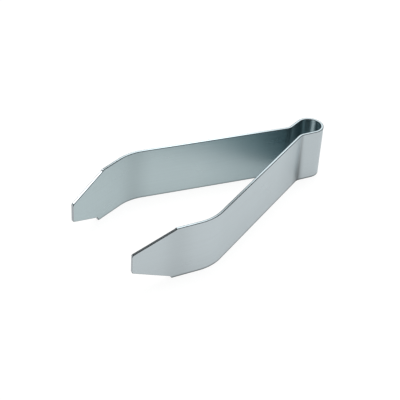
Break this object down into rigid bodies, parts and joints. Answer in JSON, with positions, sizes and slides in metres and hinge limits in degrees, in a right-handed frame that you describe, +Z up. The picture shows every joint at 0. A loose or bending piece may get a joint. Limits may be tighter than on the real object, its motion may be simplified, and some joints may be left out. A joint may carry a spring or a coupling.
{
  "type": "fish bone tweezers",
  "caption": "Wide sprung tweezers for pulling fish bones, bent from a flat steel strip with a looped spring bow, straight grips and tapered jaws.",
  "frame": {"origin": "centre of the footprint, at the height of the long edges that the strip stands on", "axes": "+X from the spring bow to the jaw tips, +Z up along the strip's width, +Y towards the left arm"},
  "size_m": [0.0992, 0.0464, 0.02],
  "materials": {
    "bow_steel": "fine brushed along the strip",
    "left_arm_steel": "fine brushed along the strip",
    "right_arm_steel": "fine brushed along the strip"
  },
  "bodies": {
    "spring_bow": {"spring_bow": "bow_steel"},
    "left_arm": {"left_arm": "left_arm_steel"},
    "right_arm": {"right_arm": "right_arm_steel"}
  },
  "joints": [
    {"name": "left_arm_flex", "type": "hinge", "parent": "spring_bow", "child": "left_arm", "pos_m": [-0.03543, 0.00364, 0.01], "axis": [0, 0, -1], "range_deg": [0, 10.81], "stiffness_Nm_per_rad": 7.5},
    {"name": "right_arm_flex", "type": "hinge", "parent": "spring_bow", "child": "right_arm", "pos_m": [-0.03543, -0.00364, 0.01], "axis": [0, 0, 1], "range_deg": [0, 10.81], "stiffness_Nm_per_rad": 7.5}
  ],
  "couplings": [
    {"joint": "right_arm_flex", "follows": "left_arm_flex", "ratio": 1}
  ]
}
